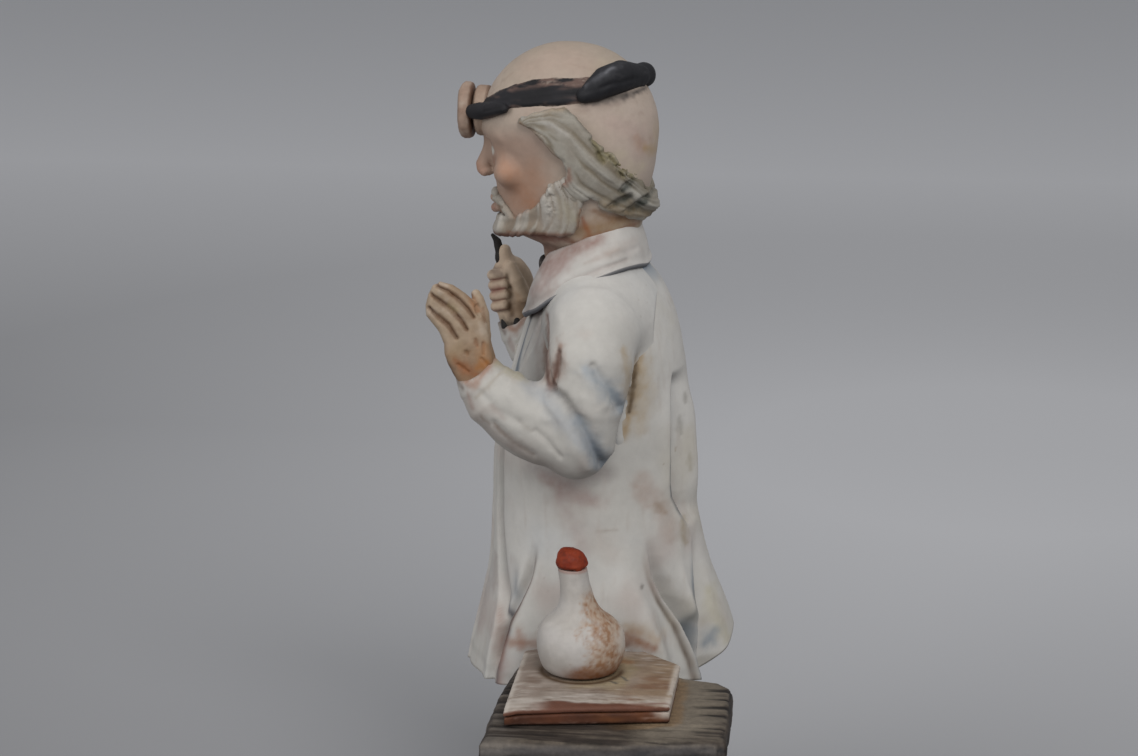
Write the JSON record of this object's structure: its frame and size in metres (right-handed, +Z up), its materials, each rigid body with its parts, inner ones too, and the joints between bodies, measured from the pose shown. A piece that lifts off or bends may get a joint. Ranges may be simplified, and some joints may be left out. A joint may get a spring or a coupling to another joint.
{
  "type": "dentist figurine",
  "caption": "Porcelain character figurine of a bald dentist in a long coat with a head mirror, beside a table with a book and a flask.",
  "frame": {"origin": "centre of the ground's flat underside", "axes": "+Z up; the figure looks along -Y; the table stands on its left, towards +X"},
  "size_m": [0.132, 0.09, 0.2172],
  "materials": {
    "coat": "matte bisque, off-white with blue-grey and ochre washes in the folds",
    "skin": "matte bisque, pale flesh with brown washes",
    "hair": "matte bisque, grey-white with greenish-brown washes",
    "black": "matte bisque, black paint brushed thin",
    "wood": "matte bisque, dark brown with rubbed white grain",
    "book": "matte bisque, brown wash rubbed off the raised grain",
    "pages": "matte bisque, dark red-brown wash",
    "flask": "matte bisque, off-white with a rubbed brown wash",
    "stopper": "matte brick-red paint on bisque",
    "trousers": "matte bisque, blue-grey paint",
    "shoes": "matte bisque, dark brown paint",
    "shirt": "matte bisque, cool white",
    "ground": "matte bisque, grey-brown wash"
  },
  "bodies": {
    "root": {"plinth": "ground", "left_shoe": "shoes", "left_trouser_leg": "trousers", "right_shoe": "shoes", "right_trouser_leg": "trousers", "coat": "coat", "coat_button_1": "coat", "coat_button_2": "coat", "coat_button_3": "coat", "coat_button_4": "coat", "coat_collar": "coat", "shirt_front": "shirt", "necktie": "black", "head": "skin", "hair_fringe": "hair", "beard": "hair", "head_strap": "black", "strap_knot": "black", "mirror_backing": "skin", "mirror_disc": "skin", "left_sleeve": "coat", "right_sleeve": "coat", "left_hand": "skin", "right_hand": "skin", "dental_forceps": "black", "table_body": "wood", "table_top": "wood", "book_pages": "pages", "book_cover": "book", "flask": "flask", "flask_stopper": "stopper"}
  },
  "joints": []
}
